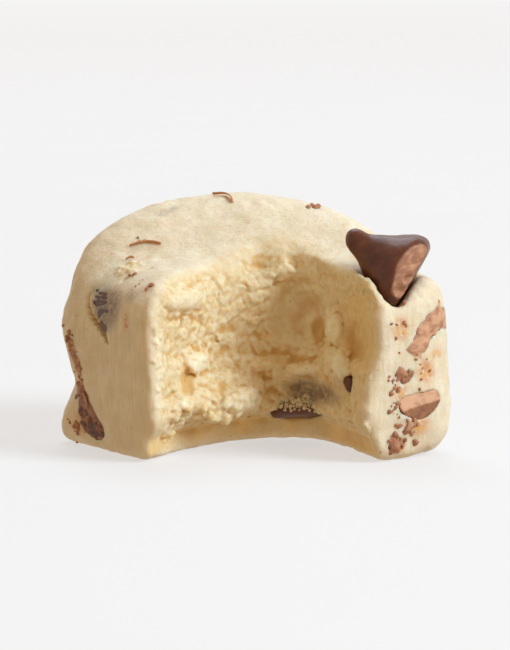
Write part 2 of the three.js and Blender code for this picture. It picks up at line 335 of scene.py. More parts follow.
# Each light's azimuth and elevation, size, power and colour.
LIGHTS = {
    "key": ((30, 31), 0.45, 7.7, (0.78, 0.9, 1.0)),
    "back": ((150, 55), 0.6, 2.6, (0.7, 0.86, 1.0)),
}
CAMERA_VIEW = (-34, 7.5)  # azimuth and elevation
CAMERA_DISTANCE = 0.4

rng = np.random.default_rng(34)


# ---- numbers and fields ----
def smoothstep(x, low, high):
    t = np.clip((x - low) / (high - low), 0, 1)
    return t * t * (3 - 2 * t)


def smooth_min(a, b, width):
    """The lower of a and b, blended where they are within width of each other."""
    h = np.clip(0.5 + 0.5 * (b - a) / width, 0, 1)
    return b + (a - b) * h - width * h * (1 - h)


def bump(u, z, centre_u, centre_z, radius_u, radius_z):
    """A soft-edged bump: 1 at its centre, 0 one radius away."""
    r = np.hypot((u - centre_u) / radius_u, (z - centre_z) / radius_z)
    return 1 - smoothstep(r, 0.25, 1)


def across_bite(x, y):
    """(u, w): how far right, and how far into the block, as the bite sees it."""
    x, y = x - SHIFT[0], y - SHIFT[1]
    cos, sin = math.cos(BITE_YAW), math.sin(BITE_YAW)
    return cos * x + sin * y, cos * y - sin * x


def behind_wall(u, w):
    """How far a point lies behind the torn wall."""
    left, right = BITE_CENTRE - BITE_LEFT, BITE_RIGHT - BITE_CENTRE
    side = (u - BITE_CENTRE) / np.where(u < BITE_CENTRE, left, right)
    return w - BITE_DEPTH - (BITE_ENDS - BITE_DEPTH) * side**2


def in_bite(x, y, z):
    """1 on the torn wall and in front of it, 0 on the faces and well behind the wall."""
    behind = behind_wall(*across_bite(x, y))
    depth = depth_in_block(x, y, z)
    frayed = 0.5 * (1 - smoothstep(behind, 0.5, 4.0)) * smoothstep(z, 18, 20.5)
    return np.maximum(smoothstep(depth, 0.3, 1.5), frayed) * (1 - smoothstep(behind, 3, 5))


def depth_in_block(x, y, z):
    """How deep a point lies in the uncut square, about: negative outside."""
    _, w = across_bite(x, y)
    x, y = x - SHIFT[0], y - SHIFT[1]
    drop = (
        FRONT_DROP * smoothstep(-w, -11, 2) * (1 - 0.25 * smoothstep(x, 6, HALF))
        + RIGHT_DROP * smoothstep(x, 3, 20)
        + LEFT_DROP * smoothstep(-x, 6, HALF)
    )
    z = z / (1 - drop / HEIGHT)
    r = BASE_RADIUS + (EDGE_RADIUS - BASE_RADIUS) * smoothstep(z, 1, 9)
    over_x = np.abs(x) - (HALF - r)
    over_y = np.abs(y) - (HALF - r)
    over_z = np.maximum(z - (HEIGHT - r), r - z)
    outside = np.sqrt(sum(np.maximum(o, 0) ** 2 for o in (over_x, over_y, over_z)))
    return r - outside - np.minimum(np.maximum(np.maximum(over_x, over_y), over_z), 0)


def distance_to_outline(a, b, outline):
    """Distance from points in a plane to a closed outline, negative inside it."""
    nearest = np.full(a.shape, 1e9)
    inside = np.zeros(a.shape, bool)
    for (a0, b0), (a1, b1) in zip(outline, outline[1:] + outline[:1]):
        da, db = a1 - a0, b1 - b0
        t = np.clip(((a - a0) * da + (b - b0) * db) / (da * da + db * db), 0, 1)
        nearest = np.minimum(nearest, np.hypot(a - a0 - t * da, b - b0 - t * db))
        if db:
            inside ^= ((b0 > b) != (b1 > b)) & (a < a0 + (b - b0) * da / db)
    return np.where(inside, -nearest, nearest)


def distance_to_path(places, path):
    nearest = np.full(places.shape[:-1], 1e9)
    for start, end in zip(np.array(path[:-1]), np.array(path[1:])):
        along = end - start
        t = np.clip((places - start) @ along / (along @ along), 0, 1)[..., None]
        nearest = np.minimum(nearest, np.linalg.norm(places - start - t * along, axis=-1))
    return nearest


def spots(places, table):
    """The strongest of the table's soft spots at each place."""
    total = np.zeros(len(places))
    for centre, radii, strength in table:
        r = np.linalg.norm((places - centre) / radii, axis=1)
        total = np.maximum(total, strength * (1 - smoothstep(r, 0.3, 1.0)))
    return total


def spline_weights(axis, cell):
    """Weights of a cubic B-spline from lattice points, one cell apart, to an axis."""
    place = (axis - axis[0]) / cell
    first = np.floor(place).astype(int)
    t = place - first
    parts = ((1 - t) ** 3, 3 * t**3 - 6 * t**2 + 4, 1 + 3 * t * (1 + t - t * t), t**3)
    weights = np.zeros((len(axis), first.max() + 4), np.float32)
    for k, part in enumerate(parts):
        weights[np.arange(len(axis)), first + k] = part / 6
    return weights


class Grid:
    """A block of cells for fields in millimetres. Distances in it are negative inside."""

    def __init__(self, low, high, step):
        self.low = np.array(low, float)
        self.step = step
        self.shape = tuple(int((b - a) / step) + 2 for a, b in zip(low, high))
        self.axes = [a + step * np.arange(n) for a, n in zip(self.low, self.shape)]

    def xyz(self):
        x, y, z = (axis.astype(np.float32) for axis in self.axes)
        return x[:, None, None], y[None, :, None], z[None, None, :]

    def places(self, cut=(slice(None),) * 3):
        axes = [axis[part] for axis, part in zip(self.axes, cut)]
        return np.stack(np.meshgrid(*axes, indexing="ij"), -1)

    def between(self, low, high):
        """The slices of the cells between two corners."""
        first = np.maximum(np.floor((low - self.low) / self.step).astype(int), 0)
        last = np.ceil((high - self.low) / self.step).astype(int) + 1
        return tuple(slice(a, min(b, n)) for a, b, n in zip(first, last, self.shape))

    def distance_to(self, points, triangles):
        grid = openvdb.FloatGrid.createLevelSetFromPolygons(
            (points - self.low).astype(np.float32),
            triangles=triangles.astype(np.uint32),
            transform=openvdb.createLinearTransform(voxelSize=self.step),
            halfWidth=REACH / self.step,
        )
        field = np.empty(self.shape, np.float32)
        grid.copyToArray(field, ijk=(0, 0, 0))
        return field

    def mesh(self, field, level=0.0):
        """(points, triangles) of the surface where the field has that level."""
        grid = openvdb.FloatGrid(REACH)
        grid.copyFromArray(np.ascontiguousarray(field, np.float32), ijk=(0, 0, 0))
        grid.transform = openvdb.createLinearTransform(voxelSize=self.step)
        points, triangles, quads = grid.convertToPolygons(isovalue=level, adaptivity=0.0)
        halves = [quads[:, [0, 1, 2]], quads[:, [0, 2, 3]]]
        return points + self.low, np.concatenate([triangles, *halves]).astype(np.int64)

    def sample(self, field, points):
        place = ((points - self.low) / self.step).astype(np.float32)
        first = np.clip(place.astype(np.int32), 0, np.array(self.shape, np.int32) - 2)
        x, y, z = (place - first).T
        i, j, k = first.T
        total = np.zeros(len(points), np.float32)
        for a, b, c in itertools.product((0, 1), repeat=3):
            share = (x if a else 1 - x) * (y if b else 1 - y) * (z if c else 1 - z)
            total += share * field[i + a, j + b, k + c]
        return total

    def noise(self, seed, cell, stretch=(1, 1, 1)):
        """Smooth noise, mostly from -1 to 1; cell is the size of one lump."""
        weights = [spline_weights(axis, cell * s) for axis, s in zip(self.axes, stretch)]
        draws = np.random.default_rng(seed)
        values = draws.uniform(-2.6, 2.6, [w.shape[1] for w in weights]).astype(np.float32)
        for w in weights:  # each pass takes the first axis and puts the finer one last
            values = np.tensordot(values, w, axes=(0, 1))
        return values

    def blur(self, field, sigma):
        span = max(1, round(2.5 * sigma / self.step))
        offsets = np.arange(-span, span + 1)
        kernel = np.exp(-0.5 * (offsets * self.step / sigma) ** 2)
        kernel /= kernel.sum()
        for axis in range(3):
            field = sum(
                np.float32(k) * np.roll(field, int(o), axis)
                for o, k in zip(offsets, kernel)
            )
        return field

    def fracture(self, near, warp, seed, cell):
        """How far broken flakes stand out, 0 to 1, at the cells marked near.

        cell is the size of a flake along each axis.
        """
        index = np.nonzero(near)
        places = np.stack([a[i] for a, i in zip(self.axes, index)], -1) + warp
        places = ((places - self.low) / np.array(cell) + 2).astype(np.float32)
        home = places.astype(np.int32)
        draws = np.random.default_rng(seed)
        size = home.max(0) + 3
        seeds = draws.random((*size, 3), dtype=np.float32)
        heights = draws.random(size, dtype=np.float32)
        first = np.full(len(home), 9.0, np.float32)
        second = first.copy()
        height = np.zeros(len(home), np.float32)
        places -= home
        for step in itertools.product((-1, 0, 1), repeat=3):
            there = tuple((home + np.array(step, np.int32)).T)
            gap = seeds[there] + np.array(step, np.float32) - places
            gap = np.sqrt((gap * gap).sum(1))
            closer = gap < first
            second = np.where(closer, first, np.minimum(second, gap))
            first = np.where(closer, gap, first)
            height = np.where(closer, heights[there], height)
        field = np.zeros(self.shape, np.float32)
        field[index] = (0.3 + 0.7 * height) * smoothstep(second - first, 0.0, 0.25)
        return field

    def add_lump(self, field, centre, radii, turn, blend):
        """Joins a rounded crumb to the field, in place."""
        reach = max(radii) + 2 * blend
        cut = self.between(centre - reach, centre + reach)
        local = (self.places(cut) - centre) @ turn / radii
        lump = ((local**4).sum(-1) ** 0.25 - 1) * min(radii)
        field[cut] = smooth_min(field[cut], lump, blend)

    def top(self, field, x, y):
        """Height of the field's surface at x and y."""
        z = self.axes[2]
        column = np.stack([np.full(len(z), x), np.full(len(z), y), z], -1)
        values = self.sample(field, column)
        k = np.nonzero(values < 0)[0].max()
        return z[k] + self.step * values[k] / (values[k] - values[k + 1])


# ---- meshes ----
def mesh_arrays(obj):
    """(points in millimetres, triangles) of an object's mesh."""
    mesh = obj.data
    points = np.empty(len(mesh.vertices) * 3, np.float32)
    mesh.vertices.foreach_get("co", points)
    mesh.calc_loop_triangles()
    triangles = np.empty(len(mesh.loop_triangles) * 3, np.int32)
    mesh.loop_triangles.foreach_get("vertices", triangles)
    return points.reshape(-1, 3) / MM, triangles.reshape(-1, 3)


def joined(parts):
    """One (points, triangles) from several."""
    starts = np.cumsum([0] + [len(points) for points, _ in parts])
    return (
        np.concatenate([points for points, _ in parts]),
        np.concatenate([tris + start for (_, tris), start in zip(parts, starts)]),
    )


def largest_part(points, triangles):
    """The biggest connected part, so that no scrap hangs loose."""
    label = np.arange(len(points))
    a, b = triangles[:, [0, 1]].ravel(), triangles[:, [1, 2]].ravel()
    while True:
        new = label.copy()
        low = np.minimum(label[a], label[b])
        np.minimum.at(new, a, low)
        np.minimum.at(new, b, low)
        new = new[new]
        if np.array_equal(new, label):
            break
        label = new
    kept = triangles[label[triangles[:, 0]] == np.bincount(label).argmax()]
    used, kept = np.unique(kept, return_inverse=True)
    return points[used], kept.reshape(-1, 3)


def linked(name, data):
    obj = bpy.data.objects.new(name, data)
    bpy.context.scene.collection.objects.link(obj)
    return obj


def make_mesh(name, points, triangles, most=None, smooth=True):
    """An object from points in millimetres, with no more triangles than most."""
    mesh = bpy.data.meshes.new(name)
    mesh.vertices.add(len(points))
    mesh.vertices.foreach_set("co", (points * MM).astype(np.float32).ravel())
    mesh.loops.add(triangles.size)
    mesh.loops.foreach_set("vertex_index", triangles.astype(np.int32).ravel())
    mesh.polygons.add(len(triangles))
    mesh.polygons.foreach_set("loop_start", np.arange(0, triangles.size, 3))
    mesh.update(calc_edges=True)
    mesh.validate()
    obj = linked(name, mesh)
    if most and len(triangles) > most:
        thin = obj.modifiers.new("thin", "DECIMATE")
        thin.ratio = most / len(triangles)
        depsgraph = bpy.context.evaluated_depsgraph_get()
        thinned = bpy.data.meshes.new_from_object(obj.evaluated_get(depsgraph))
        obj.modifiers.clear()
        obj.data = thinned
        thinned.name = name
    obj.data.polygons.foreach_set("use_smooth", np.full(len(obj.data.polygons), smooth))
    return obj


def dress(obj, material, slot, **looks):
    """Each of the looks is a mesh attribute: one number, or one for each point."""
    for name, values in looks.items():
        attribute = obj.data.attributes.new(name, "FLOAT", "POINT")
        values = np.broadcast_to(values, len(obj.data.vertices))
        attribute.data.foreach_set("value", np.clip(values, 0, 1).astype(np.float32))
    obj.data.materials.append(material)
    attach(obj, "root")


# ---- materials ----
class Nodes:
    """A material's or a world's nodes. Their inputs are numbers, colours or other outputs."""

    def __init__(self, owner):
        owner.use_nodes = True
        self.owner = owner
        self.tree = owner.node_tree
        self.tree.nodes.clear()

    def add(self, kind, inputs=(), **settings):
        node = self.tree.nodes.new(kind)
        for key, value in settings.items():
            setattr(node, key, value)
        for key, value in dict(inputs).items():
            if isinstance(value, bpy.types.NodeSocket):
                self.tree.links.new(value, node.inputs[key])
            else:
                node.inputs[key].default_value = value
        return node

    def place(self, scale=(1, 1, 1)):
        """Places on the object, in millimetres, stretched by scale."""
        where = self.add("ShaderNodeTexCoord").outputs["Object"]
        factors = [s / MM for s in scale]
        return self.add("ShaderNodeMapping", {"Vector": where, "Scale": factors}).outputs[0]

    def noise(self, size, detail=3, rough=0.5, scale=(1, 1, 1)):
        inputs = {"Vector": self.place(scale), "Scale": 1 / size}
        inputs |= {"Detail": detail, "Roughness": rough}
        return self.add("ShaderNodeTexNoise", inputs).outputs["Fac"]

    def attribute(self, name):
        return self.add("ShaderNodeAttribute", attribute_name=name).outputs["Fac"]

    def math(self, operation, a, b):
        return self.add("ShaderNodeMath", {0: a, 1: b}, operation=operation).outputs[0]

    def span(self, value, low, high, to_low=0.0, to_high=1.0):
        inputs = {"Value": value, "From Min": low, "From Max": high}
        inputs |= {"To Min": to_low, "To Max": to_high}
        return self.add("ShaderNodeMapRange", inputs, interpolation_type="SMOOTHSTEP").outputs[0]

    def mix(self, factor, a, b):
        inputs = {0: factor, 6: a, 7: b}  # 6, 7 and output 2 are the node's colours
        return self.add("ShaderNodeMix", inputs, data_type="RGBA").outputs[2]

    def bump(self, height, depth):
        """depth is in millimetres, for heights from 0 to 1."""
        inputs = {"Height": height, "Distance": depth * MM, "Strength": 1.0}
        return self.add("ShaderNodeBump", inputs).outputs[0]

    def finish(self, inputs):
        shader = self.add("ShaderNodeBsdfPrincipled", inputs)
        self.add("ShaderNodeOutputMaterial", {"Surface": shader.outputs[0]})
        return self.owner


def rgb(red, green, blue):
    """A colour from its sRGB values, 0 to 255."""
    linear = [
        v / 12.92 if v <= 0.04045 else ((v + 0.055) / 1.055) ** 2.4
        for v in (red / 255, green / 255, blue / 255)
    ]
    return (*linear, 1.0)


def dough_material(name="dough", subsurface=0.6):
    m = Nodes(bpy.data.materials.new(name))
    bite = m.attribute("bite")
    face = m.mix(m.span(m.noise(2.5), 0.35, 0.65), rgb(233, 220, 193), rgb(242, 232, 209))
    drag = m.noise(0.5, detail=2, scale=(1, 1, 0.15))  # the knife went straight down
    face = m.mix(m.span(drag, 0.4, 0.7, 0.0, 0.35), face, rgb(222, 196, 152))
    crumb = m.mix(m.span(m.noise(0.9), 0.3, 0.7), rgb(229, 209, 166), rgb(241, 228, 195))
    colour = m.mix(bite, face, crumb)
    mottle = m.math("MULTIPLY", bite, m.span(m.noise(0.55), 0.46, 0.66, 0.0, 0.6))
    colour = m.mix(mottle, colour, rgb(229, 192, 122))
    # Whiter crumb, and painted light in the scoop.
    pale = m.math("MULTIPLY", m.attribute("pale"), m.span(m.noise(0.8), 0.3, 0.55, 0.5, 0.9))
    colour = m.mix(pale, colour, rgb(253, 246, 222))
    # The tooth-pressed dough's denser colour, which is also painted warm shade on the strip and
    # the smooth tooth marks.
    colour = m.mix(m.span(m.attribute("pressed"), 0, 1, 0, 0.8), colour, rgb(243, 209, 140))
    specks = m.span(m.noise(0.35, detail=2), 0.64, 0.74)
    colour = m.mix(m.math("MULTIPLY", specks, 0.55), colour, rgb(212, 168, 106))
    # Painted ochre shade, in the crevices and on the torn wall's shaded spots.
    colour = m.mix(m.span(m.attribute("cavity"), 0.0, 1.0, 0.0, 0.85), colour, rgb(218, 172, 98))
    film = m.math("MULTIPLY", m.attribute("film"), m.span(m.noise(0.6), 0.3, 0.6, 0.6, 1.0))
    colour = m.mix(film, colour, rgb(150, 130, 112))
    stain = m.math("MULTIPLY", m.attribute("stain"), m.span(m.noise(0.7, detail=4), 0.28, 0.52))
    blot = m.mix(m.span(m.noise(1.1), 0.4, 0.6), rgb(230, 172, 98), rgb(215, 152, 112))
    colour = m.mix(stain, colour, blot)
    fine = m.noise(0.28, detail=4, rough=0.65)
    grain = m.math("ADD", fine, m.math("MULTIPLY", drag, m.span(bite, 0, 1, 0.6, 0)))
    return m.finish(
        {
            "Base Color": colour,
            "Roughness": 0.6,
            "Specular IOR Level": 0.35,
            "Subsurface Weight": subsurface,
            "Subsurface Radius": (1.2, 0.75, 0.4),
            "Subsurface Scale": MM,
            "Sheen Weight": 0.12,
            "Sheen Roughness": 0.5,
            "Normal": m.bump(grain, 0.08),
        }
    )


def chocolate_material():
    """Milk chocolate: dark and smooth as moulded, paler and dull where it was cut."""
    m = Nodes(bpy.data.materials.new("chocolate"))
    cut = m.attribute("cut")
    skin = m.mix(m.span(m.noise(1.6), 0.35, 0.65), rgb(90, 45, 21), rgb(108, 58, 31))
    streaks = m.noise(1.3, rough=0.55, scale=(1, 1, 1.6))
    tone = m.math("ADD", m.attribute("tone"), m.span(streaks, 0.3, 0.7, -0.22, 0.22))
    low = m.mix(m.span(tone, 0.0, 0.5), rgb(98, 60, 43), rgb(166, 117, 90))
    face = m.mix(m.span(tone, 0.5, 1.0), low, rgb(220, 172, 138))
    face = m.mix(m.attribute("thin"), face, rgb(217, 154, 112))
    colour = m.mix(cut, skin, face)
    dust = m.math("MULTIPLY", m.attribute("dust"), m.span(m.noise(0.5), 0.35, 0.55, 0.3, 1.0))
    colour = m.mix(dust, colour, rgb(160, 138, 112))
    return m.finish(
        {
            "Base Color": colour,
            "Roughness": m.span(cut, 0, 1, 0.3, 0.58),
            "Specular IOR Level": 0.3,
            "Subsurface Weight": 0.15,
            "Subsurface Radius": (0.8, 0.4, 0.2),
            "Subsurface Scale": MM,
            "Normal": m.bump(m.noise(0.6), 0.05),
        }
    )


def floor_material():
    """Grey paper that glows a little, and more with distance, where the lamps are weaker."""
    m = Nodes(bpy.data.materials.new("floor"))
    where = m.add("ShaderNodeTexCoord").outputs["Object"]
    far = m.add("ShaderNodeVectorMath", {0: where}, operation="LENGTH").outputs["Value"]
    grain = m.span(m.noise(40, detail=2), 0.3, 0.7)
    return m.finish(
        {
            "Base Color": m.mix(grain, *FLOOR_GREYS),
            "Roughness": 0.9,
            "Specular IOR Level": 0.1,
            "Emission Color": m.mix(m.span(far, *GLOW_CHANGES), PAPER, FAR_PAPER),
            "Emission Strength": m.span(far, *GLOW_CHANGES, *GLOW),
        }
    )


def studio_world():
    """Warm to the dough, and pale to the camera and in reflections."""
    m = Nodes(bpy.data.worlds.new("studio"))
    ray = m.add("ShaderNodeLightPath").outputs
    seen = m.math("MAXIMUM", ray["Is Camera Ray"], ray["Is Glossy Ray"])
    light = m.add("ShaderNodeBackground", {"Color": m.mix(seen, FILL_LIGHT, PAPER)})
    m.add("ShaderNodeOutputWorld", {"Surface": light.outputs[0]})
    return m.owner


# ---- chips ----
class Chip:
    """A chip's field on its own grid, and the mesh made from it."""

    def __init__(self, name, obj):
        self.name = name
        self.proud = name in PROUD_CHIPS
        self.in_wall = name.startswith("chip_bite")
        self.under_film = name in FILMS_OVER
        self.on_hidden_face = name.startswith(HIDDEN_FACES)
        self.way_out = WAYS_OUT.get("_".join(name.split("_")[:2]))
        self.solid = mesh_arrays(obj)
        points = self.solid[0]
        self.grid = Grid(points.min(0) - CHIP_MARGIN, points.max(0) + CHIP_MARGIN, CHIP_STEP)

    def halo(self, reach):
        """Centre and radii of the space round the chip."""
        low, high = self.solid[0].min(0), self.solid[0].max(0)
        return (low + high) / 2, reach * (high - low) / 2

    def run_out(self, field):
        """Carries the chip's sides straight on, out past the dough's face."""
        if not self.way_out:
            return field
        axis, sign = self.way_out
        reach = self.solid[0][:, axis]
        edge = reach.max() - CRISP if sign > 0 else reach.min() + CRISP
        k = round((edge - self.grid.low[axis]) / CHIP_STEP)
        field = np.moveaxis(field, axis, 0).copy()
        field[slice(k, None) if sign > 0 else slice(None, k)] = field[k]
        return np.moveaxis(field, 0, axis)

    def shape(self, dough_grid, envelope, seed):
        """Makes the chip's whole field, for its pocket, and the one cut by the knife."""
        grid = self.grid
        places = grid.places()
        field = grid.blur(self.run_out(grid.distance_to(*self.solid)), CHIP_BLUR) - CHIP_GROWTH
        field += 0.06 * grid.noise(seed, 1.6) + 0.03 * grid.noise(seed + 1, 0.6)
        cover = dough_grid.sample(envelope, places.reshape(-1, 3)).reshape(grid.shape)
        if self.name == "chip_top":
            cover = knife_face(grid, places)
        elif self.name == "chip_front_low":
            cover = wedge_face(grid, places)
        elif self.under_film:
            cover += FILMS_OVER[self.name]
        elif not self.proud:
            cover += SUNK
        self.cover = cover
        if self.name == "chip_bite":
            z = places[..., 2]
            field = np.maximum(field, BITE_CHIP_SHOWS[0] + 0.15 * grid.noise(seed + 2, 0.7) - z)
            field = np.maximum(field, z - BITE_CHIP_SHOWS[1] - 0.8 * grid.noise(seed + 3, 1.0))
        if self.name == "chip_bite_scrap":
            field = field - BITE_SCRAP_GROWTH
        self.whole = field
        self.field = field if self.in_wall else np.maximum(field, cover)

    def tone(self, places):
        """How light the cut face is, from 0 to 1, for all the places or for each."""
        z = places[:, 2]
        if self.name == "chip_top":  # lighter round its rim and at its lower tip
            rim = 1 - smoothstep(-self.grid.sample(self.whole, places), 0.1, 0.6)
            return 0.17 + 0.42 * np.maximum(rim, 1 - smoothstep(z, 19.0, 21.0))
        if self.name == "chip_front_high":
            return 0.4 + 0.4 * smoothstep(z, 11.0, 15.0)
        if self.name == "chip_front_low":
            return 0.45 + 0.45 * smoothstep(above_ridge(places), -0.15, 0.15)
        return CHIP_TONES.get(self.name, CHIP_TONE)

    def build(self, material):
        points, triangles = largest_part(*self.grid.mesh(self.field))
        obj = make_mesh(self.name + "_look", points, triangles, CHIP_TRIANGLES)
        places = mesh_arrays(obj)[0]
        if self.name == "chip_bite":  # broken, not cut
            cut, tone = 0.6, 0
            dust = smoothstep(places[:, 2], DUST_HEIGHT, DUST_HEIGHT + 1)
        else:
            cut = smoothstep(self.grid.sample(self.cover, places), -0.22, -0.06)
            cut = 0 if self.in_wall or self.under_film else cut
            tone, dust = self.tone(places), 0
        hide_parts(self.name)
        dress(obj, material, "chocolate", cut=cut, tone=tone, thin=0, dust=dust)


def knife_face(grid, places):
    """The top chip's flat cut: crumbly at its lower tip, and cracked across above it."""
    face = FRONT_FACE - places[..., 1] + SUNK
    tip = smoothstep(TOP_CHIP_TIP - places[..., 2], 0, 1.5)
    face += tip * (0.35 + 0.35 * grid.noise(7, 0.8))
    radius = TOP_CHIP_CRACK_RADIUS + 0.12 * grid.noise(8, 0.7)
    return np.maximum(face, radius - distance_to_path(places, TOP_CHIP_CRACK))


def above_ridge(places):
    """How far above the low front chip's ridge line."""
    x, z, slope = LOW_CHIP_RIDGE
    return places[..., 2] - z - slope * (places[..., 0] - x)


def wedge_face(grid, places):
    """The low front chip stands out as a wedge, with a light top and a dark underside."""
    stands_out = 0.65
    ridge = above_ridge(places)
    lean = np.where(ridge > 0, 0.28 * ridge, -0.36 * ridge)
    return FRONT_FACE - places[..., 1] - stands_out + lean + 0.05 * grid.noise(9, 0.8)


# ---- dough ----
def crumbliness(u, z):
    """1 where the bite tore the dough, 0 where a tooth left it smooth."""
    smooth = 1 - smoothstep(z, STRIP_HEIGHT - 0.6, STRIP_HEIGHT)
    for mark in TOOTH_MARKS:
        smooth = np.maximum(smooth, smoothstep(bump(u, z, *mark), 0.1, 0.6))
    ridge = np.maximum(*(bump(u, z, *part) for part in TOOTH_RIDGE))
    return np.maximum(1 - smooth, ridge)


def wall_spots(u, z, table, column=STRENGTH):
    """The sum of a table's soft spots on the torn wall, each times its value in that column."""
    return sum(row[column] * bump(u, z, *row[:4]) for row in table)


def random_turns(count):
    """Rotation matrices, evenly spread."""
    q = rng.normal(size=(count, 4))
    a, b, c, d = (q / np.linalg.norm(q, axis=1, keepdims=True)).T
    rows = [
        [1 - 2 * (c * c + d * d), 2 * (b * c - a * d), 2 * (b * d + a * c)],
        [2 * (b * c + a * d), 1 - 2 * (b * b + d * d), 2 * (c * d - a * b)],
        [2 * (b * d - a * c), 2 * (c * d + a * b), 1 - 2 * (b * b + c * c)],
    ]
    return np.moveaxis(np.array(rows), -1, 0)


def drawn(places, weights, count):
    return places[rng.choice(len(places), count, replace=False, p=weights / weights.sum())]


def add_crumbs(grid, field, places, weights, count, size):
    """Joins crumbs of radius size[0] to size[1] at places drawn by their weights."""
    for place, turn in zip(drawn(places, weights, count), random_turns(count)):
        radius = size[0] + (size[1] - size[0]) * rng.random() ** 2
        radii = radius * rng.uniform(0.65, 1.3, 3)
        centre = place + rng.uniform(-CRUMB_LIFT, CRUMB_LIFT, 3) * radius
        grid.add_lump(field, centre, radii, turn, CRUMB_BLEND)


def carve(grid, field, chip, gap):
    """Cuts the chip's pocket into the field, with that gap round the chip."""
    low = chip.grid.low
    high = low + (np.array(chip.grid.shape) - 1) * CHIP_STEP
    cut = grid.between(low, high)
    places = grid.places(cut)
    within = np.all((places >= low) & (places <= high), -1)
    shape = chip.field if chip.under_film else chip.whole
    pocket = chip.grid.sample(shape - gap, places.reshape(-1, 3)).reshape(within.shape)
    pocket = np.where(within, pocket, REACH)
    if chip.name == "chip_left_high":
        flat = places * (0, 1, 1)
        crack = distance_to_path(flat, CRACK) - CRACK_RADIUS
        crack += 0.15 * np.sin(5 * flat.sum(-1))  # wavy edges
        crack = np.maximum(crack, places[..., 0] + HALF - CRACK_DEPTH)
        pocket = np.minimum(pocket, crack)
    field[cut] = np.maximum(field[cut], -pocket)


def tear(grid, field, torn, rough):
    """Breaks the torn wall into flat flakes of several sizes, with fissures between them."""
    near = (torn > 0.02) & (np.abs(field) < 1.2)
    warp = np.stack([0.6 * grid.noise(10 + i, 1.5)[near] for i in range(3)], -1)
    lumps = 0
    for seed, (height, wander, size) in enumerate(FLAKES, 1):
        lumps = lumps + height * rough * grid.fracture(near, wander * warp, seed, size)
    line = np.abs(grid.noise(30, 1.6, (1, 1, 0.55)))
    fissures = (1 - smoothstep(line, 0.04, 0.22)) * smoothstep(grid.noise(31, 2.2), 0.0, 0.5)
    field = field - torn * (lumps - 0.45 * rough) + 0.14 * torn * fissures
    return field + torn * (0.1 * grid.noise(6, 0.42) + 0.1 * grid.noise(7, 0.8))


def crumble(grid, field, places):
    """Joins the patches of crumbs to the torn wall, and those on the top."""
    u, _ = across_bite(places[:, 0], places[:, 1])
    z = places[:, 2]
    rough = in_bite(*places.T) * (0.1 + crumbliness(u, z))
    for *spot, count, smallest, largest in CRUMB_PATCHES:
        weights = rough * bump(u, z, *spot) + 1e-9
        add_crumbs(grid, field, places, weights, count, (smallest, largest))
    weights = spots(places, TOP_CRUMBS) + 1e-9
    add_crumbs(grid, field, places, weights, TOP_CRUMB_COUNT, TOP_CRUMB_SIZE)


def groove(grid, field, path, radius, depth):
    """Presses a line, seen from above, into the top of the field, in place."""
    path = np.array(path)
    cut = grid.between(path.min(0) + (-1, -1, TOP_FROM), path.max(0) + (1, 1, HEIGHT))
    near = distance_to_path(grid.places(cut) * (1, 1, 0), path)
    field[cut] += depth * (1 - smoothstep(near, 0.0, radius))


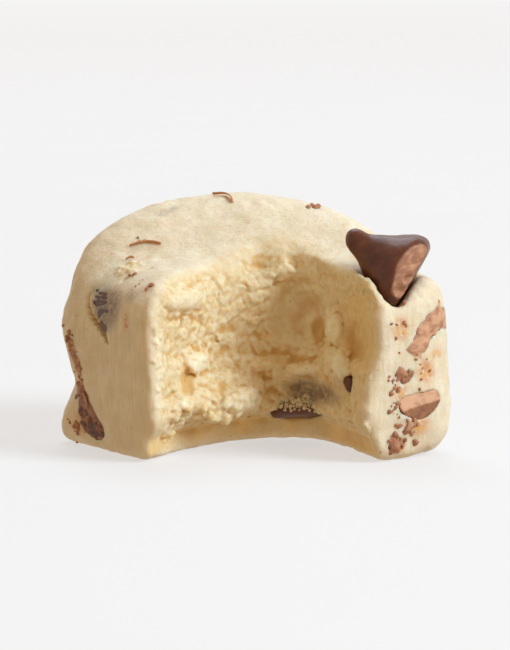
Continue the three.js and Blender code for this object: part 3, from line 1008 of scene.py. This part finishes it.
def build_dough(nodes, chips, material):
    """Also shapes the chips, and returns the grid and the dough's smooth outside."""
    low, high = (np.array(corner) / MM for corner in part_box("dough"))
    grid = Grid(low - DOUGH_MARGIN, high + DOUGH_MARGIN, DOUGH_STEP)
    x, y, z = grid.xyz()
    u, _ = across_bite(x, y)
    inside = in_bite(x, y, z)

    solids = [mesh_arrays(nodes["dough"])] + [c.solid for c in chips if not c.proud]
    field = grid.distance_to(*joined(solids))
    field = grid.distance_to(*grid.mesh(field, CLOSING)) + CLOSING
    faces = grid.blur(field, FACE_BLUR)
    envelope = np.maximum(faces + inside * (grid.blur(field, BITE_BLUR) - faces), -z)
    for i, chip in enumerate(chips):
        chip.shape(grid, envelope, 100 + 2 * i)

    even = 1 - np.minimum(sum(bump(u, z, *spot) for spot in BARE), 1)
    torn = inside * crumbliness(u, z) * even
    field = envelope - inside * even * wall_spots(u, z, RELIEF)
    for centre in SCALLOPS:
        flute = np.maximum(1 - ((u - centre) / SCALLOP_REACH) ** 2, 0)
        field += SCALLOP_DEPTH * inside * flute * (1 - smoothstep(z, SCALLOP_FADE, STRIP_HEIGHT))
    rough = 0.6 + wall_spots(u, z, RELIEF, ROUGHER)
    deeper = smoothstep(depth_in_block(x, y, z), 1, 4)  # the wall is less torn by the faces
    field = tear(grid, field, torn * (0.45 + 0.55 * deeper), rough)
    field += 0.06 * grid.noise(4, 0.9) * (1 - 0.6 * torn)
    field += 0.035 * grid.noise(5, 0.45)
    for i, chip in enumerate(chips):
        carve(grid, field, chip, CHIP_GAP + 0.04 * chip.grid.noise(200 + i, 1.3))
    crumble(grid, field, grid.mesh(field)[0])
    groove(grid, field, TOP_CRACK, TOP_CRACK_RADIUS, TOP_CRACK_DEPTH)
    field = np.maximum(field, -z)

    points, triangles = largest_part(*grid.mesh(field))
    obj = make_mesh("dough_look", points, triangles, DOUGH_TRIANGLES)
    places = mesh_arrays(obj)[0]
    u, _ = across_bite(places[:, 0], places[:, 1])
    z = places[:, 2]
    bitten = np.maximum(in_bite(*places.T), spots(places, TOP_CRUMBS))
    # Painted shade in the crevices: how far the surface lies below itself blurred.
    cavity = -grid.sample(grid.blur(field, CREVICE_SHADE_BLUR), places) / CREVICE_SHADE_DEPTH
    # Pressed dough's colour and painted warm shade: on the smooth tooth marks and the strip,
    # stronger low down, not in the scoop, whose hollow is shaded already.
    pressed = (1 - crumbliness(u, z)) * (1 - bump(u, z, *SCOOP))
    pressed *= 1 - 0.5 * smoothstep(z, 4, 8)
    reach, strength = HIDDEN_STAIN
    round_chips = [(*chip.halo(reach), strength) for chip in chips if chip.on_hidden_face]
    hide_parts("dough")
    dress(
        obj, material, "dough",
        # Painted ochre shade: in the crevices, and in the wall's recesses, cracks and strip.
        cavity=cavity + bitten * wall_spots(u, z, OCHRE_SHADES),
        bite=bitten,
        pressed=bitten * pressed,
        film=spots(places, FILMS) + bitten * wall_spots(u, z, WALL_FILMS),
        stain=spots(places, STAINS + round_chips),
        # Whiter crumb, with painted light in the scoop.
        pale=bitten * wall_spots(u, z, PALES_AND_SCOOP_LIGHT),
    )
    return grid, envelope


# ---- small pieces ----
def angular_crumbs(places, radius):
    """(points, triangles) of small angular crumbs, one at each place."""
    ball = bmesh.new()
    bmesh.ops.create_icosphere(ball, subdivisions=1, radius=1)
    points = np.array([v.co for v in ball.verts])
    triangles = np.array([[v.index for v in f.verts] for f in ball.faces])
    ball.free()
    count = len(places)
    radii = radius[:, None, None] * rng.uniform(0.6, 1.4, (count, 1, 3))
    shapes = points * rng.uniform(0.7, 1.2, (count, len(points), 1)) * radii
    shapes = shapes @ random_turns(count) + places[:, None, :]
    faces = triangles + (len(points) * np.arange(count))[:, None, None]
    return shapes.reshape(-1, 3), faces.reshape(-1, 3)


def build_grains(chip):
    """Fine crumbs that cling to the chip in the bite, joined in one piece."""
    places, _ = chip.grid.mesh(chip.field)
    height = smoothstep(places[:, 2], DUST_HEIGHT - 0.5, DUST_HEIGHT + 0.5)
    centres = drawn(places, height + 1e-6, GRAINS)
    radius = GRAIN_SIZE[0] + (GRAIN_SIZE[1] - GRAIN_SIZE[0]) * rng.random(len(centres)) ** 2
    obj = make_mesh("grains", *angular_crumbs(centres, radius), smooth=False)
    looks = dict(bite=1, pale=0.7, film=0.35, cavity=0, pressed=0, stain=0)
    dress(obj, dough_material("grains", 0.0), "dough", **looks)


def onto_surface(grid, envelope, places, axis):
    """Moves places along an axis onto the dough's outside."""
    rounds, probe, least, longest = 6, 0.1, 0.3, 0.5
    places = places.copy()
    for _ in range(rounds):
        ahead = places.copy()
        ahead[:, axis] += probe
        here = grid.sample(envelope, places)
        slope = (grid.sample(envelope, ahead) - here) / probe
        slope = np.where(np.abs(slope) < least, least * np.sign(slope + 1e-9), slope)
        places[:, axis] -= np.clip(here / slope, -longest, longest)
    return places


def scraps_round(chip):
    """A row for the scraps by a chip of a hidden face, as SCRAPS has them."""
    axis, sign = chip.way_out
    spread, count, size = HIDDEN_SCRAPS
    centre, radii = chip.halo(spread)
    centre[axis] = sign * HALF
    return axis, centre, radii, count, size


def build_scraps(grid, envelope, chips, material):
    """Scraps of chocolate pressed into the dough's faces, joined in one piece."""
    parts = []
    hidden = [scraps_round(chip) for chip in chips if chip.on_hidden_face]
    for axis, centre, spread, count, size in SCRAPS + hidden:
        places = np.array(centre) + rng.normal(size=(count, 3)) * spread
        places = onto_surface(grid, envelope, places, axis)
        places = places[np.abs(grid.sample(envelope, places)) < LOOSE]
        parts.append(angular_crumbs(places, size * rng.uniform(0.4, 1.2, len(places))))
    obj = make_mesh("scraps", *joined(parts), smooth=False)
    dress(obj, material, "chocolate", cut=1, tone=CHIP_TONE, thin=0.25, dust=0)


def build_smears(name, smears, axis, grid, envelope, material):
    """Chocolate that the knife dragged over a face, as a thin ragged crust."""
    across = 1 - axis
    corners = np.array([corner for *_, outline in smears for corner in outline])
    low, high = np.zeros(3), np.zeros(3)
    low[[across, 2]] = corners.min(0) - 1
    high[[across, 2]] = corners.max(0) + 1
    low[axis], high[axis] = SMEAR_SPAN
    fine = Grid(low, high, SMEAR_STEP)
    places = fine.places()
    cover = grid.sample(envelope, places.reshape(-1, 3)).reshape(fine.shape)
    ragged = 0.4 * fine.noise(21, 1.0) + 0.3 * fine.noise(22, 0.45)
    holes = 0.5 * (fine.noise(24, 0.8) - 0.5)
    height = 0.5 + 0.5 * fine.noise(23, 0.6)
    field = np.full(fine.shape, REACH)
    for _, _, thickness, outline in smears:
        edge = distance_to_outline(places[..., across], places[..., 2], outline) + ragged
        taper = 0.05 + 0.95 * smoothstep(-edge, 0.0, 0.8)
        crust = np.maximum(cover - thickness * height * taper, -cover - SMEAR_ROOT)
        field = np.minimum(field, np.maximum(np.maximum(crust, edge), holes))
    obj = make_mesh(name, *fine.mesh(field), SMEAR_TRIANGLES)
    points = mesh_arrays(obj)[0]
    edges = [distance_to_outline(points[:, across], points[:, 2], row[3]) for row in smears]
    nearest = np.argmin(edges, axis=0)
    tone, thin = (np.array([row[k] for row in smears])[nearest] for k in (0, 1))
    dress(obj, material, "chocolate", cut=1, tone=tone, thin=thin, dust=0)


def ribbon(start, end, bow, width, grid, envelope):
    """(points, triangles) of a thin curled strip that lies on the top."""
    steps, thickness, curl = 10, 0.14, 0.18
    start, end = np.array(start), np.array(end)
    along = (end - start) / np.linalg.norm(end - start)
    side = np.array([-along[1], along[0]])
    rings = []
    for t in np.linspace(0, 1, steps):
        arch = 4 * t * (1 - t)
        middle = start + t * (end - start) + bow * arch * side
        half = 0.5 * width * (0.55 + 0.45 * arch) * (1 + 0.2 * math.sin(9 * t))
        lift = grid.top(envelope, *middle) + 0.1 + 0.12 * arch
        corners = [(-half, curl), (half, 0.0), (half, thickness), (-half, curl + thickness)]
        rings += [(*(middle + a * side), lift + up) for a, up in corners]
    last = 4 * (steps - 1)
    quads = [(3, 2, 1, 0), (last, last + 1, last + 2, last + 3)]
    for i, j in itertools.product(range(steps - 1), range(4)):
        a, b = 4 * i + j, 4 * i + (j + 1) % 4
        quads.append((a, b, b + 4, a + 4))
    triangles = [t for a, b, c, d in quads for t in ((a, b, c), (a, c, d))]
    return np.array(rings), np.array(triangles)


def build_shavings(grid, envelope, material):
    obj = make_mesh("shavings", *joined([ribbon(*row, grid, envelope) for row in SHAVINGS]))
    dress(obj, material, "chocolate", cut=1, tone=0.6, thin=0.6, dust=0)


# ---- stage ----
def aimed(name, data, view, distance, target):
    """An object aimed at the target from an azimuth, which is 0 in front, and an elevation."""
    a, e = map(math.radians, view)
    back = Vector((math.sin(a) * math.cos(e), -math.cos(a) * math.cos(e), math.sin(e)))
    obj = linked(name, data)
    obj.location = Vector(target) + distance * back
    obj.rotation_euler = (Vector(target) - obj.location).to_track_quat("-Z", "Y").to_euler()
    return obj


def build_stage(target):
    bpy.ops.mesh.primitive_circle_add(vertices=96, radius=FLOOR_RADIUS, fill_type="NGON")
    floor = bpy.context.object
    floor.name = "floor"
    floor.data.materials.append(floor_material())
    floor.visible_diffuse = False
    bpy.context.scene.world = studio_world()
    for name, (view, size, power, colour) in LIGHTS.items():
        light = bpy.data.lights.new(name, "AREA")
        light.color = colour
        light.shape = "DISK"
        light.size = size
        light.energy = power
        aimed(name, light, view, LIGHT_DISTANCE, target).visible_camera = False


def build_camera(target):
    camera = bpy.data.cameras.new("camera")
    camera.sensor_fit = "HORIZONTAL"
    camera.sensor_width = 36
    camera.lens = 245
    camera.clip_end = 20
    bpy.context.scene.camera = aimed("camera", camera, CAMERA_VIEW, CAMERA_DISTANCE, target)


# ---- the scene ----
def main():
    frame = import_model()
    cad_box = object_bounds()
    nodes = frame["nodes"]
    target = (cad_box[0] + cad_box[1]) / 2

    chocolate = chocolate_material()
    chips = [Chip(n, nodes[n]) for n in sorted(nodes) if n.startswith("chip")]
    grid, envelope = build_dough(nodes, chips, dough_material())
    build_grains(next(chip for chip in chips if chip.name == "chip_bite"))
    for chip in chips:
        chip.build(chocolate)
    for name, (axis, smears) in SMEARS.items():
        build_smears(name, smears, axis, grid, envelope, chocolate)
    build_scraps(grid, envelope, chips, chocolate)
    build_shavings(grid, envelope, chocolate)

    build_stage(target)
    build_camera(target)
    bpy.context.scene.view_settings.view_transform = "Standard"


main()
